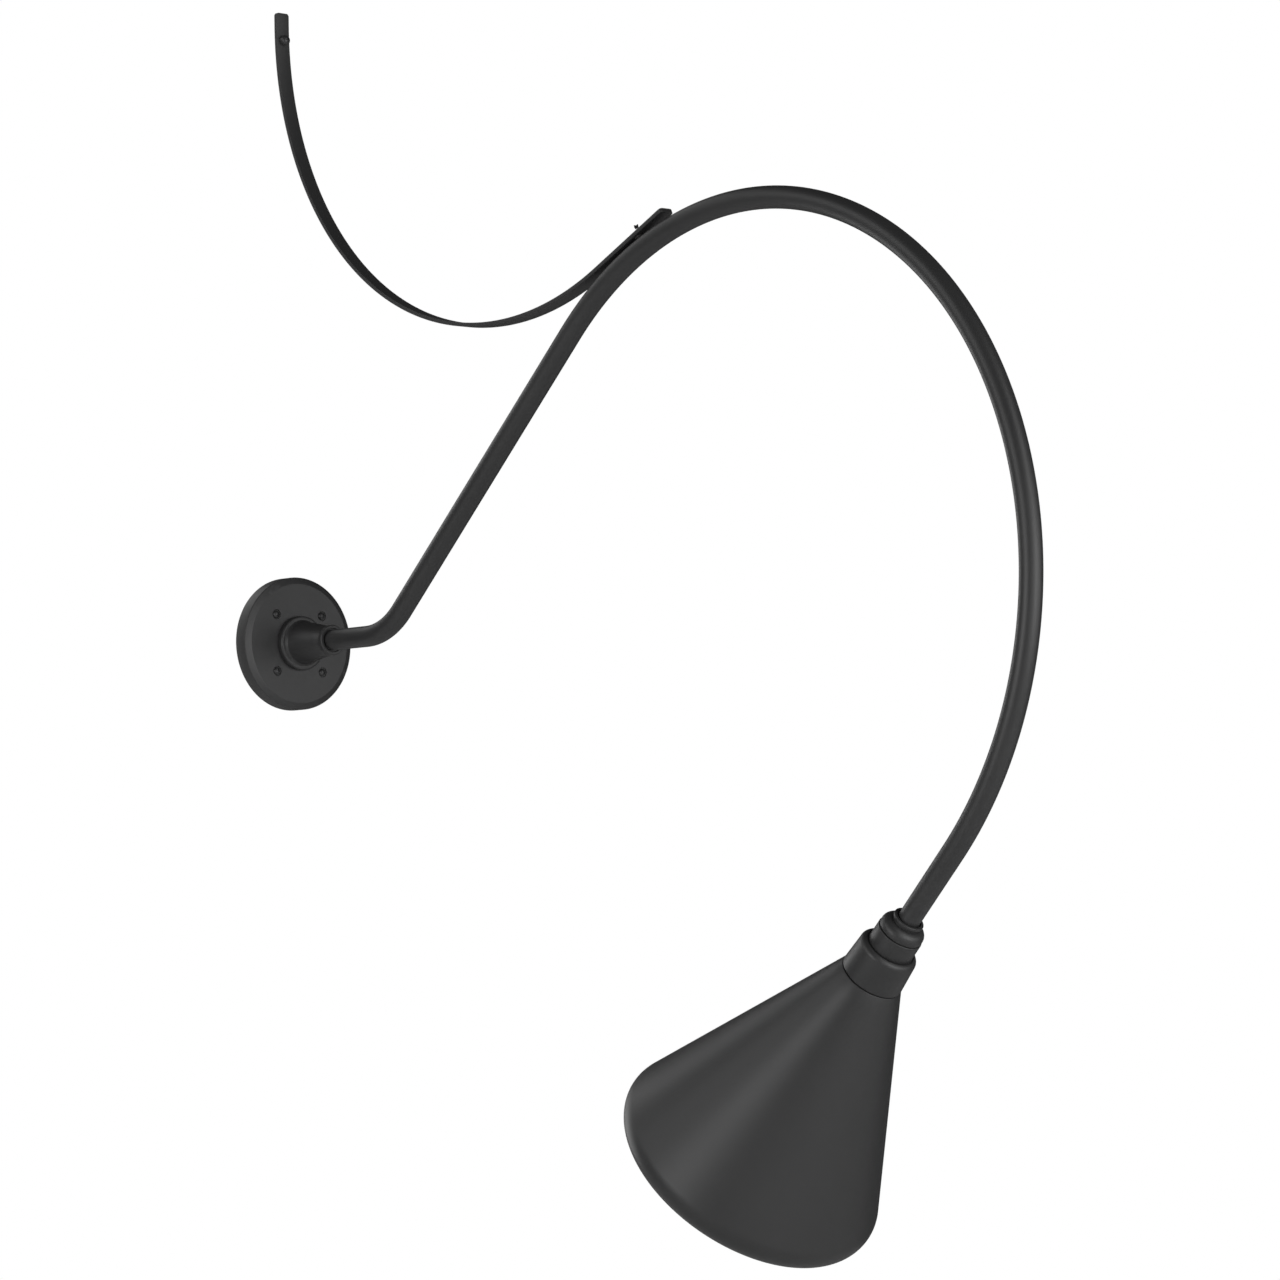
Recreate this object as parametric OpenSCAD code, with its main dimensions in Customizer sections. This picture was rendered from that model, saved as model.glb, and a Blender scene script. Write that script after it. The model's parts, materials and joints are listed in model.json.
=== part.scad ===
// Gooseneck wall sconce: round back plate, bell hub, one bent pipe arm, a flat
// strap that stays the arch to the wall, and a spun cone shade on a swivel neck.
// Frame: the wall is the plane x = 0, +X points out of the wall, +Z is up, and
// the origin is the centre of the back plate on the wall.

/* [Back plate] */
// Diameter of the back plate
plate_d = 134; // [120:1:150]
// Height of the straight edge of the back plate
plate_edge_h = 15; // [12:0.5:18]
// Distance from the wall to the plate's front face
plate_face_x = 17.5; // [16:0.5:22]
// Wall thickness of the cast plate
plate_wall = 3; // [2:0.5:4]
// Circle on which the four plate screws stand
screw_circle_d = 80.8; // [76:0.2:90]
// Diameter of the screw heads
screw_head_d = 8.2; // [7:0.1:9]

/* [Hub] */
// Distance from the wall to the hub's lip
hub_end_x = 73; // [68:0.5:80]
// Radius of the hub's base ring
hub_base_r = 27.4; // [25:0.1:30]
// Radius of the hub's lip
hub_lip_r = 15.3; // [14.5:0.1:17]

/* [Arm] */
// Outside diameter of the arm pipe
pipe_d = 21; // [20:0.1:22]
// Wall thickness of the arm pipe
pipe_wall = 2.5; // [2:0.1:3]
// Distance from the wall to the start of the first bend
first_bend_x = 127.3; // [120:0.1:140]
// Centreline radius of the first bend
first_bend_r = 81.8; // [70:0.1:95]
// Angle of the first bend, and slope of the straight run
rise_deg = 43; // [42:0.1:44]
// Length of the straight run
rise_len = 358.5; // [350:0.5:366]
// Centreline radius of the arch
arch_r = 352.6; // [350:0.1:355]
// Angle that the arch turns through
arch_deg = 177.6; // [175:0.1:180]

/* [Strap] */
// Width of the flat strap
strap_w = 15.9; // [14:0.1:18]
// Thickness of the flat strap
strap_t = 4; // [3:0.1:4.4]
// Radius of the strap's curve at mid thickness
strap_r = 342.4; // [341:0.1:343.5]
// Height at which the strap turns off the wall
strap_z = 630.6; // [629.5:0.1:631.5]
// Length of flat strap above that height
strap_top = 14.9; // [10:0.1:20]
// Height of the strap's wall screw
strap_screw_z = 617; // [614:0.5:620]

/* [Shade] */
// Half angle of the cone
cone_deg = 23.5; // [22:0.1:25]
// Distance of the cone's apex from the end of the arch
cone_apex = 79.5; // [78:0.1:81]
// Distance of the start of the rounded rim from the end of the arch
rim_start = 366; // [340:1:380]
// Radius of the rounded rim
rim_r = 21.2; // [15:0.1:24]
// Angle that the rim turns through
rim_deg = 93; // [80:1:100]
// Sheet thickness of the shade
shade_t = 1; // [0.8:0.1:1.6]

/* [Lamp] */
// Diameter of the lamp's globe
globe_d = 60; // [55:1:66]
// Length of the lamp from contact to crown
lamp_len = 108; // [100:1:114]

/* [Hidden] */
$fn = 96;
fit = 0.05;
pipe_r = pipe_d / 2;
bore_r = pipe_r - pipe_wall;
thread_r = 12;
lead_r = 1.3;
lap = 0.5;
hair = 0.1;
lead_y = 3;
tail_len = 19.5;
tail_splay = 13.3;

// Stations along the hub's axis, from the wall
pipe_start_x = 40;
nipple_x = 6;
stud_r = 1.75;
locknut_h = 5;
face_in_x = plate_face_x - plate_wall;
lead_start_x = 2;
hub_set_x = 63.2;

// The arm's centreline in the x-z plane: ends of the straight run and the arch
function unit(deg) = [cos(deg), sin(deg)];
run_start = [first_bend_x + first_bend_r * sin(rise_deg), first_bend_r * (1 - cos(rise_deg))];
run_end = run_start + rise_len * unit(rise_deg);
arch_centre = run_end + arch_r * unit(rise_deg - 90);
nose_deg = rise_deg - arch_deg;
arch_end = arch_centre + arch_r * unit(nose_deg + 90);

// Stations along the neck's axis, from the end of the arch
lip_t = 78;
lip_h = 3;
pipe_end_t = 90;
bell_end_t = 93.6;
seal_h = 0.85;
coupling_t = bell_end_t + seal_h + fit;
coupling_end_t = 113.3;
spigot_end_t = 116;
stem_end_t = 121;
washer_h = 1;
bracket_t = 122;
bracket_h = 1.2;
cap_t = 111.6;
cap_shoulder_r = 5.5;
cap_end_t = 146;
gasket_h = 1;
shade_top_t = cap_end_t + gasket_h;
retainer_h = 2;
holder_t = bracket_t + bracket_h;
holder_end_t = 168;
shell_t = 139;
contact_t = 144;
lead_end_t = 132;
cap_side_r = [27.4, 29.1];
lip_r = 14.3;
bell_r = 20.7;
coupling_r = 21.3;
stem_r = 9.5;
cap_bore_r = 24.3;
shade_hole_r = 24;
retainer_screw_r = 25.9;

// The strap passes over the arch at a small gap and is screwed down a little further on,
// where the flange of a rivet nut fills the gap
strap_gap = 0.8;
strap_fix_on = 19;
rivet_flange_h = 1.2;
strap_cx = strap_r + strap_t / 2;
contact_r = arch_r + pipe_r + strap_gap + strap_t / 2;
centres = [strap_cx, strap_z] - arch_centre;
strap_slope = atan2(centres[1], centres[0]) - 90
    - acos(min(1, (strap_r + contact_r) / norm(centres)));
strap_touch = arch_centre + contact_r * unit(strap_slope + 90);
strap_fix = strap_touch + strap_fix_on * unit(strap_slope);
strap_leave = [strap_cx, strap_z] - strap_r * unit(strap_slope + 90);
strap_tail = 43;
strap_corner_r = 3;

// Points of an arc, from angle a0 to a1
function arc(cx, cy, r, a0, a1, n = 8) =
    [for (i = [0:n]) [cx + r * cos(a0 + (a1 - a0) * i / n), cy + r * sin(a0 + (a1 - a0) * i / n)]];

// Turns the local z axis out of the wall
module out_of_wall() rotate([0, 90, 0]) children();

// Puts the local z axis on the neck, running from the end of the arch to the mouth
module on_neck()
    translate([arch_end[0], 0, arch_end[1]])
        rotate([0, 90 - nose_deg, 0])
            children();

// Puts a point of the x-z plane at the origin, with local z along the angle deg
module in_plane(p, deg) translate([p[0], 0, p[1]]) rotate([0, 90 - deg, 0]) children();

// A ring from z0 to z1
module ring(r_out, r_in, z0, z1)
    translate([0, 0, z0])
        difference() {
            cylinder(r = r_out, h = z1 - z0);
            translate([0, 0, -1]) cylinder(r = r_in, h = z1 - z0 + 2);
        }

// A hexagon nut across flats af with a round hole
module hex_nut(af, r_in, z0, z1)
    translate([0, 0, z0])
        difference() {
            cylinder(r = af / 2 / cos(30), h = z1 - z0, $fn = 6);
            translate([0, 0, -1]) cylinder(r = r_in, h = z1 - z0 + 2);
        }

// A round-head screw: its head stands on z = 0 with a straight side of side_h under its
// dome, and its shank runs down
module round_head_screw(head_d, head_h, shank_r, shank_len, tip_r, tip_len, side_h = 0) {
    dome_r = (pow(head_d / 2, 2) + pow(head_h, 2)) / (2 * head_h);
    difference() {
        union() {
            intersection() {
                translate([0, 0, side_h + head_h - dome_r]) sphere(r = dome_r);
                translate([0, 0, max(0, side_h - 0.2)]) cylinder(d = head_d, h = head_h + 1);
            }
            if (side_h > 0) cylinder(d = head_d + 0.2, h = side_h);
            translate([0, 0, -shank_len]) cylinder(r = shank_r, h = shank_len + 0.5);
            translate([0, 0, -shank_len - tip_len]) cylinder(r = tip_r, h = tip_len + 0.01);
        }
        // cross recess
        for (a = [0, 90])
            rotate([0, 0, a])
                translate([-head_d * 0.27, -0.5, side_h + head_h * 0.45])
                    cube([head_d * 0.54, 1, head_h]);
    }
}

// The back plate's four screw places, with local z out of the wall
module at_plate_screws()
    for (a = [45:90:315])
        rotate([a, 0, 0])
            translate([0, 0, screw_circle_d / 2])
                out_of_wall()
                    children();

module wall_gasket()
    color([0.05, 0.05, 0.05])
        out_of_wall() ring(plate_d / 2 - plate_wall - 0.2, plate_d / 2 - plate_wall - 9, 0, 3);

module back_plate()
    color([0.13, 0.13, 0.135])
        difference() {
            out_of_wall()
                rotate_extrude()
                    polygon([
                        [thread_r + 0.1, plate_face_x], [thread_r + 0.1, face_in_x],
                        [plate_d / 2 - plate_wall - 3, face_in_x],
                        [plate_d / 2 - plate_wall, face_in_x - 3],
                        [plate_d / 2 - plate_wall, 0], [plate_d / 2, 0],
                        [plate_d / 2, plate_edge_h - 0.6], [plate_d / 2 - 0.6, plate_edge_h],
                        [plate_d / 2 - 5.6, plate_face_x - 0.4], [plate_d / 2 - 6.6, plate_face_x]
                    ]);
            at_plate_screws() {
                translate([0, 0, face_in_x - 1]) cylinder(r = 2.4, h = plate_wall + 2);
                translate([0, 0, plate_face_x - 1]) cylinder(d = screw_head_d + 2, h = 2);
            }
            translate([face_in_x - 1, 0, -24]) out_of_wall() cylinder(r = 1.95, h = 3.2);
        }

module plate_screws()
    color([0.1, 0.1, 0.1])
        at_plate_screws()
            translate([0, 0, plate_face_x - 1])
                round_head_screw(screw_head_d, 3.2, 2.25, plate_face_x - 1, stud_r, 22);

module ground_screw()
    color([0.1, 0.45, 0.2])
        translate([face_in_x, 0, -24])
            rotate([0, -90, 0]) {
                cylinder(r = 4.2, h = 2.6, $fn = 6);
                translate([0, 0, -2]) cylinder(r = 1.9, h = 2.5);
            }

// The hub: base ring, bell, and a lip that the pipe enters
module hub()
    color([0.13, 0.13, 0.135])
        difference() {
            out_of_wall()
                rotate_extrude()
                    polygon(concat(
                        [[bore_r, nipple_x], [thread_r, nipple_x], [thread_r, plate_face_x + fit],
                            [hub_base_r, plate_face_x + fit]],
                        arc(hub_base_r - 2.5, 21.5, 2.5, 0, 90, 6),
                        arc(23.2, 25.6, 1.6, 270, 190, 5),
                        [[18.6, 44], [15.6, 60], [13.9, 66.4]],
                        arc(hub_lip_r - 1.4, hub_end_x - 4.2, 1.4, -90, 0, 4),
                        arc(hub_lip_r - 1.2, hub_end_x - 1.2, 1.2, 0, 90, 4),
                        [[pipe_r + 1.4, hub_end_x], [pipe_r + 1.4, hub_end_x - 2],
                            [pipe_r + fit, hub_end_x - 2], [pipe_r + fit, pipe_start_x - fit],
                            [bore_r, pipe_start_x - fit]]
                    ));
            translate([hub_set_x, pipe_r - 1, 0]) rotate([-90, 0, 0]) cylinder(r = 2, h = 12);
        }

module hub_locknut()
    color([0.7, 0.7, 0.72])
        out_of_wall() hex_nut(34, thread_r + fit, face_in_x - locknut_h, face_in_x);

// A headless set screw with a hexagon socket, along local z
module set_screw(len)
    difference() {
        cylinder(r = 2 - fit, h = len);
        translate([0, 0, len - 1.8]) cylinder(r = 1.1, h = 3, $fn = 6);
    }

module hub_set_screw()
    color([0.2, 0.2, 0.2])
        translate([hub_set_x, pipe_r + fit, 0]) rotate([-90, 0, 0]) set_screw(4);

// One straight stretch of pipe or wire from a point of the arm's plane; y is the place across it
module stretch(p, deg, len, r, r_in, y)
    translate([0, y, 0])
        in_plane(p, deg)
            if (r_in > 0)
                ring(r, r_in, 0, len);
            else
                cylinder(r = r, h = len);

// One bend about a centre, from the angle a0 and turning by turn
module bend(centre, a0, turn, bend_r, r, r_in, y)
    translate([centre[0], 0, centre[1]])
        rotate([90, 0, 0])
            rotate([0, 0, a0])
                rotate_extrude(angle = turn)
                    translate([bend_r, -y])
                        difference() {
                            circle(r = r);
                            if (r_in > hair) circle(r = r_in);
                        }

// Pipe or wire along the arm, from x_from in the hub to t_to in the neck. The straight
// stretches are a hair fuller than the bends and lap over their ends.
module along_arm(r, r_in, y, x_from, t_to) {
    stretch([x_from, 0], 0, first_bend_x - x_from + lap, r, r_in, y);
    bend([first_bend_x, first_bend_r], -90, rise_deg, first_bend_r, r - hair, r_in + hair, y);
    stretch(run_start - lap * unit(rise_deg), rise_deg, rise_len + 2 * lap, r, r_in, y);
    bend(arch_centre, 90 + nose_deg, arch_deg, arch_r, r - hair, r_in + hair, y);
    stretch(arch_end - lap * unit(nose_deg), nose_deg, t_to + lap, r, r_in, y);
}

// Local z along the strap's outward normal where it is screwed to the arch
module at_strap_fix() in_plane(strap_fix, strap_slope + 90) children();

module arm_pipe()
    color([0.13, 0.13, 0.135])
        difference() {
            along_arm(pipe_r, bore_r, 0, pipe_start_x, pipe_end_t);
            at_strap_fix() translate([0, 0, -strap_t / 2 - 8]) cylinder(r = 3.5, h = 10);
        }

// A lead on side s of the arm's plane, from behind the plate to the lamp holder
module lead(s) {
    along_arm(lead_r, 0, s * lead_y, lead_start_x, lead_end_t);
    on_tail(s) {
        sphere(r = lead_r + hair);
        cylinder(r = lead_r, h = tail_len + 4.5);
    }
}

// Turns local z from the nipple's mouth across the plate's hollow, on side s
module on_tail(s)
    translate([lead_start_x, s * lead_y, 0]) rotate([s * -90, 0, -s * tail_splay]) children();

module lead_black() color([0.05, 0.05, 0.05]) lead(1);
module lead_white() color([0.9, 0.9, 0.88]) lead(-1);

// Twist-on connectors on the tails of the leads
module splices()
    color([0.75, 0.3, 0.08])
        for (s = [-1, 1])
            on_tail(s)
                rotate_extrude()
                    polygon([
                        [lead_r + fit, tail_len], [5, tail_len], [5, tail_len + 2],
                        [3.2, tail_len + 16], [2.4, tail_len + 17], [0, tail_len + 17],
                        [0, tail_len + 5], [lead_r + fit, tail_len + 5]
                    ]);

// A flat bar end with two rounded corners, standing along +y, centred on x
module rounded_end(w, len, r) {
    translate([-w / 2, 0]) square([w, len - r]);
    translate([-w / 2 + r, 0]) square([w - 2 * r, len]);
    for (s = [-1, 1]) translate([s * (w / 2 - r), len - r]) circle(r = r);
}

module strap()
    color([0.13, 0.13, 0.135])
        difference() {
            union() {
                // top end, flat on the wall
                translate([0, 0, strap_z])
                    rotate([90, 0, 90])
                        linear_extrude(strap_t) rounded_end(strap_w, strap_top, strap_corner_r);
                // the round sweep from the wall to under the arch
                translate([strap_cx, 0, strap_z])
                    rotate([90, 0, 0])
                        rotate([0, 0, 180])
                            rotate_extrude(angle = 90 + strap_slope)
                                translate([strap_r - strap_t / 2, -strap_w / 2])
                                    square([strap_t, strap_w]);
                // straight end that lies along the arch
                in_plane(strap_leave, strap_slope)
                    rotate([90, 0, 90])
                        translate([0, 0, -strap_t / 2])
                            linear_extrude(strap_t)
                                rounded_end(strap_w, norm(strap_fix - strap_leave) + strap_tail,
                                    strap_corner_r);
            }
            translate([-5, 0, strap_screw_z]) out_of_wall() cylinder(r = 2.8, h = 20);
            at_strap_fix() translate([0, 0, -5]) cylinder(r = 2.2, h = 10);
        }

module strap_wall_screw()
    color([0.1, 0.1, 0.1])
        translate([strap_t + 0.6, 0, strap_screw_z])
            out_of_wall()
                round_head_screw(9.6, 3, 2.6, strap_t - 0.6, 2.4, 0.8, 4.6);

module strap_arm_screw()
    color([0.1, 0.1, 0.1])
        at_strap_fix()
            translate([0, 0, strap_t / 2])
                round_head_screw(9.6, 3, 2.1, strap_t, 1.9, 8, 4.6);

// Rivet nut in the pipe's upper wall; its flange carries the strap
module strap_rivet_nut()
    color([0.72, 0.72, 0.74])
        at_strap_fix()
            translate([0, 0, -strap_t / 2])
                difference() {
                    union() {
                        translate([0, 0, -rivet_flange_h]) cylinder(r = 4.6, h = rivet_flange_h);
                        translate([0, 0, -7]) cylinder(r = 3.5 - fit, h = 7);
                    }
                    translate([0, 0, -9]) cylinder(r = 1.95, h = 10);
                }

// Lip, neck and rounded flange on the arm's end, with the swivel stem below
module neck_bell()
    color([0.13, 0.13, 0.135])
        difference() {
            on_neck()
                rotate_extrude()
                    polygon(concat(
                        [[pipe_r + 1.3, lip_t]],
                        arc(lip_r - 0.9, lip_t + 0.9, 0.9, -90, 0, 4),
                        arc(lip_r - 0.9, lip_t + lip_h - 0.9, 0.9, 0, 90, 4),
                        arc(bell_r - 7.8, 91.2, 7.8, -89, 0, 10),
                        [[bell_r, bell_end_t - 0.5], [bell_r - 0.5, bell_end_t],
                            [stem_r, bell_end_t], [stem_r, stem_end_t], [7, stem_end_t],
                            [7, pipe_end_t + 1], [bore_r, pipe_end_t + fit],
                            [pipe_r + fit, pipe_end_t + fit], [pipe_r + fit, lip_t + 2],
                            [pipe_r + 1.3, lip_t + 2]]
                    ));
            on_neck() translate([0, pipe_r - 1, 86]) rotate([-90, 0, 0]) cylinder(r = 2, h = 14);
        }

module neck_set_screw()
    color([0.2, 0.2, 0.2])
        on_neck() translate([0, pipe_r + fit, 86]) rotate([-90, 0, 0]) set_screw(5);

module swivel_seal()
    color([0.05, 0.05, 0.05])
        on_neck() ring(bell_r - 1.2, stem_r + fit, bell_end_t, bell_end_t + seal_h);

module swivel_washer()
    color([0.75, 0.75, 0.77])
        on_neck() ring(15, stem_r + fit, spigot_end_t + fit, spigot_end_t + fit + washer_h);

module swivel_nut()
    color([0.75, 0.75, 0.77])
        on_neck() hex_nut(24, stem_r + fit, spigot_end_t + fit + washer_h, stem_end_t - 0.3);

// The plain cylinder between the bell and the cap
module coupling()
    color([0.13, 0.13, 0.135])
        on_neck()
            rotate_extrude()
                polygon([
                    [stem_r + fit, coupling_t], [coupling_r - 0.7, coupling_t],
                    [coupling_r, coupling_t + 0.7], [coupling_r, coupling_end_t - 0.4],
                    [coupling_r - 0.4, coupling_end_t], [16, coupling_end_t],
                    [16, spigot_end_t], [stem_r + fit, spigot_end_t]
                ]);

// Rounded cap that carries the shade and hides the lamp holder
module shade_cap()
    color([0.13, 0.13, 0.135])
        on_neck() {
            difference() {
                rotate_extrude()
                    polygon(concat(
                        [[16 + fit, coupling_end_t + fit], [22.5, coupling_end_t + fit]],
                        arc(cap_side_r[0] - cap_shoulder_r, cap_t + cap_shoulder_r + 0.6,
                            cap_shoulder_r, -78, 0, 10),
                        [[cap_side_r[1], cap_end_t - 0.5], [cap_side_r[1] - 0.5, cap_end_t],
                            [cap_bore_r, cap_end_t], [24.4, 120]],
                        arc(21, 118, 3, 0, -90, 5),
                        [[16 + fit, 115]]
                    ));
                at_retainer_screws() translate([0, 0, -8.5]) cylinder(r = 0.95, h = 8);
            }
            for (s = [-1, 1])
                translate([s * 19.5, 0, 114.9])
                    difference() {
                        cylinder(r = 3, h = bracket_t - 114.9);
                        translate([0, 0, 1.5]) cylinder(r = 1.4, h = 20);
                    }
        }

module shade_gasket()
    color([0.04, 0.04, 0.04])
        on_neck()
            difference() {
                ring(cap_side_r[1] - 1.8, cap_bore_r, cap_end_t, cap_end_t + gasket_h);
                at_retainer_screws() translate([0, 0, -10]) cylinder(r = 1.1, h = 20);
            }

// Distance of the cone's outer side from the axis at a station t
function cone_r(t) = (t - cone_apex) * tan(cone_deg);

// Spun cone with a flange at the top and a rounded rim that turns in
rim_centre = [cone_r(rim_start) - rim_r * cos(cone_deg), rim_start + rim_r * sin(cone_deg)];
module shade()
    color([0.13, 0.13, 0.135])
        on_neck()
            difference() {
                rotate_extrude()
                    polygon(concat(
                        [[shade_hole_r, shade_top_t], [cone_r(shade_top_t) - 0.8, shade_top_t],
                            [cone_r(shade_top_t + 1), shade_top_t + 1]],
                        arc(rim_centre[0], rim_centre[1], rim_r, -cone_deg, rim_deg - cone_deg, 14),
                        arc(rim_centre[0], rim_centre[1], rim_r - shade_t, rim_deg - cone_deg, -cone_deg, 14),
                        [[cone_r(shade_top_t + shade_t) - shade_t / cos(cone_deg), shade_top_t + shade_t],
                            [shade_hole_r, shade_top_t + shade_t]]
                    ));
                at_retainer_screws() translate([0, 0, -4]) cylinder(r = 1.1, h = 6);
            }

module shade_retainer()
    color([0.8, 0.8, 0.8])
        on_neck()
            difference() {
                ring(28, 22.5, shade_top_t + shade_t, shade_top_t + shade_t + retainer_h);
                at_retainer_screws() translate([0, 0, -10]) cylinder(r = 1.3, h = 20);
            }

// Places of the three retainer screws, on the retainer's lower face
module at_retainer_screws()
    for (a = [30:120:270])
        rotate([0, 0, a])
            translate([retainer_screw_r, 0, shade_top_t + shade_t + retainer_h])
                children();

module retainer_screws()
    color([0.75, 0.75, 0.77])
        on_neck()
            at_retainer_screws()
                round_head_screw(4.2, 1.6, 1.2, retainer_h, 0.9, 6);

module socket_bracket()
    color([0.75, 0.75, 0.77])
        on_neck()
            difference() {
                translate([0, 0, bracket_t])
                    intersection() {
                        cylinder(r = 23, h = bracket_h);
                        translate([-30, -18.4, 0]) cube([60, 36.8, bracket_h]);
                    }
                translate([0, 0, bracket_t - 1]) cylinder(r = 8, h = 5);
                for (s = [-1, 1]) {
                    translate([s * 19.5, 0, bracket_t - 1]) cylinder(r = 1.6, h = 5);
                    translate([0, s * 15, bracket_t - 1]) cylinder(r = 1.6, h = 5);
                }
            }

module bracket_screws()
    color([0.75, 0.75, 0.77])
        on_neck()
            for (s = [-1, 1])
                translate([s * 19.5, 0, bracket_t + bracket_h])
                    round_head_screw(5, 2, 1.5, bracket_h, 1.35, 4.5);

// Screws that hold the porcelain to the bracket, heads above the bracket
module holder_screws()
    color([0.75, 0.75, 0.77])
        on_neck()
            for (s = [-1, 1])
                translate([0, s * 15, bracket_t])
                    rotate([180, 0, 0])
                        round_head_screw(4.2, 0.9, 1.5, bracket_h, 1.35, 6);

// Porcelain lamp holder, open downward, with a round pocket for the leads
module lamp_holder()
    color([0.93, 0.92, 0.88])
        difference() {
            on_neck()
                rotate_extrude()
                    polygon([
                        [6.5, holder_t], [15.4, holder_t], [18.4, holder_t + 3],
                        [18.4, 150], [20.4, 152.5], [20.4, holder_end_t - 1.5],
                        [18.9, holder_end_t], [14.6, holder_end_t], [14.2, holder_end_t - 1.2],
                        [14.2, shell_t], [11, shell_t], [11, 136], [6.5, 136]
                    ]);
            on_neck() {
                for (s = [-1, 1]) {
                    translate([s * 17.2, 0, holder_t - 1]) cylinder(r = 3.1, h = 4.2);
                    translate([0, s * 15, holder_t - 1]) cylinder(r = 1.4, h = 8);
                    translate([0, s * 12, 136]) rotate([-90 * s, 0, 0]) cylinder(r = 1.5, h = 8);
                }
            }
        }

// Screwed shell that the lamp turns into
module holder_shell()
    color([0.8, 0.68, 0.35])
        on_neck() {
            ring(14.15, 13.35, shell_t + 0.05, holder_end_t - 3);
            ring(13.4, 6, shell_t + 0.05, shell_t + 0.65);
        }

// Springy centre contact
module holder_contact()
    color([0.8, 0.68, 0.35])
        on_neck() {
            translate([0, 0, 136.1]) cylinder(r = 4.5, h = 1);
            translate([0, 0, 137]) cylinder(r = 2.2, h = contact_t - 137.2);
        }

module terminal_screws()
    color([0.8, 0.68, 0.35])
        on_neck()
            for (s = [-1, 1])
                translate([0, s * 18.4, 136])
                    rotate([-90 * s, 0, 0])
                        round_head_screw(5.6, 1.9, 1.4, 2, 1.4, 4);

// Lamp with an E26 cap; its parts follow one axis, from the contact to the crown
cap_top_t = contact_t + 3;
cap_len = 20;
lamp_neck_t = cap_top_t + cap_len;
body_end_t = lamp_neck_t + 33;
globe_t = contact_t + lamp_len - globe_d / 2;
globe_foot_r = 24.4;
globe_wall = 1.2;
globe_a = asin((body_end_t + 3 - globe_t) / (globe_d / 2));

module lamp_contact()
    color([0.75, 0.75, 0.77])
        on_neck() translate([0, 0, contact_t]) cylinder(r1 = 3.4, r2 = 4.8, h = 1.2);

module lamp_insulator()
    color([0.06, 0.06, 0.07])
        on_neck() translate([0, 0, contact_t + 1.2]) cylinder(r1 = 6.2, r2 = 11, h = 1.8);

module lamp_cap()
    color([0.82, 0.82, 0.83])
        on_neck() translate([0, 0, cap_top_t]) cylinder(r = 13.1, h = cap_len);

module lamp_body()
    color([0.9, 0.9, 0.9])
        on_neck()
            translate([0, 0, lamp_neck_t])
                rotate_extrude()
                    polygon([[0, 0], [13.8, 0], [14.6, 2], [16.5, 8], [22.5, 24], [globe_foot_r, 33], [0, 33]]);

// Thin opal shell, open where it stands on the body
module lamp_globe() {
    inner_r = globe_d / 2 - globe_wall;
    color([0.96, 0.95, 0.9])
        on_neck()
            rotate_extrude()
                polygon(concat(
                    [[globe_foot_r - globe_wall, body_end_t + fit], [globe_foot_r, body_end_t + fit]],
                    arc(0, globe_t, globe_d / 2, globe_a, 90, 16),
                    arc(0, globe_t, inner_r, 90, globe_a, 16)
                ));
}

wall_gasket();
back_plate();
plate_screws();
ground_screw();
hub();
hub_locknut();
hub_set_screw();
arm_pipe();
lead_black();
lead_white();
splices();
strap();
strap_wall_screw();
strap_arm_screw();
strap_rivet_nut();
neck_bell();
neck_set_screw();
swivel_seal();
swivel_washer();
swivel_nut();
coupling();
shade_cap();
shade_gasket();
shade();
shade_retainer();
retainer_screws();
socket_bracket();
bracket_screws();
holder_screws();
lamp_holder();
holder_shell();
holder_contact();
terminal_screws();
lamp_cap();
lamp_insulator();
lamp_contact();
lamp_body();
lamp_globe();
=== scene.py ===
"""Gooseneck wall sconce: finished pieces, coatings, floor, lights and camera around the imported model.

Sizes in the classes are in millimetres and degrees. Meshes are made in metres in the row's frame:
the wall is the plane x = 0, +X points out of the wall, and +Z is up.
"""

from __future__ import annotations

import json
import logging
import math
from collections.abc import Iterable, Sequence
from dataclasses import dataclass, field
from enum import Enum

import bmesh
import bpy
from mathutils import Matrix, Vector

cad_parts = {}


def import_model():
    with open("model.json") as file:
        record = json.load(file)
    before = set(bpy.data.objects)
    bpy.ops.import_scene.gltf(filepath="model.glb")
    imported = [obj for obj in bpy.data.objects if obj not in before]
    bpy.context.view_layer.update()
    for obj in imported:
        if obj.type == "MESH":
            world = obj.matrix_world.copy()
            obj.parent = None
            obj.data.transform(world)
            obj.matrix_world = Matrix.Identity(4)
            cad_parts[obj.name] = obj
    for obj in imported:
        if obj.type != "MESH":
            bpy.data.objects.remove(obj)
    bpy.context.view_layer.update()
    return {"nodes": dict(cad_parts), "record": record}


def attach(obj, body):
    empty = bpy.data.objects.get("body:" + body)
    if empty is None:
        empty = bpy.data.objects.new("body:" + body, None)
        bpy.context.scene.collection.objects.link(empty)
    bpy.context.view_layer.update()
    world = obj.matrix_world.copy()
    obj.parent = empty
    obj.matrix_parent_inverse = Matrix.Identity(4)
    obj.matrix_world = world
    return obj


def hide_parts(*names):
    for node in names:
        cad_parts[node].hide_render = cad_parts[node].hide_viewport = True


LOG = logging.getLogger("sconce")
MM = 0.001

Corner = tuple[float, float, float]
Point = tuple[float, float]
Colour = tuple[float, float, float]


class Body(Enum):
    """The rigid bodies that pieces ride on."""

    FRAME = "wall_frame"
    SHADE = "shade_unit"
    LAMP = "lamp"


class Lit(Enum):
    """How far a surface lets light through."""

    OPAQUE = "opaque"
    OPAL = "opal"


# ---------------------------------------------------------------- shader effects


def preset(node: bpy.types.Node, values: dict[str | int, float | Sequence[float]]) -> None:
    """Sets constants on a shader node's inputs, by name or number."""
    for label, value in values.items():
        node.inputs[label].default_value = value


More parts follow.
